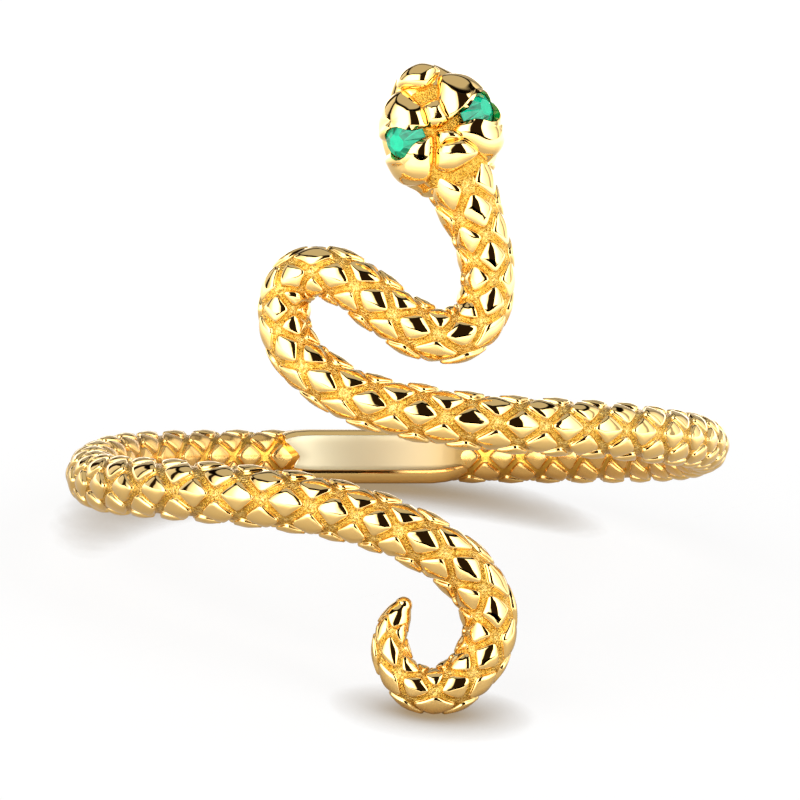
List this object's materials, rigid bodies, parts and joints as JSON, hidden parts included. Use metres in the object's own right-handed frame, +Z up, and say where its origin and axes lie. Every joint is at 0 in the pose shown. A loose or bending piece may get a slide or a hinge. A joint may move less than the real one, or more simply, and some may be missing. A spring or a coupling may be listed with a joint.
{
  "type": "adjustable open snake ring",
  "caption": "Open bypass finger ring cast as a slender snake with diamond scales, a coiled tail, an S-bent neck and a plated head set with green stones.",
  "frame": {"origin": "middle of the base of the ring's box, on the surface that the ring lies on by itself", "axes": "+Z up from the surface, +Y towards the back of the band where the plain plate is, +X to the right seen from the head and tail"},
  "size_m": [0.0206, 0.0218, 0.0186],
  "materials": {
    "gold_plate": "polished yellow gold plate on cast silver, matt and rough in the grooves",
    "green_stone": "faceted green cubic zirconia"
  },
  "bodies": {
    "root": {"snake_ring": "gold_plate", "eye_stone_left": "green_stone", "eye_stone_right": "green_stone"}
  },
  "joints": []
}
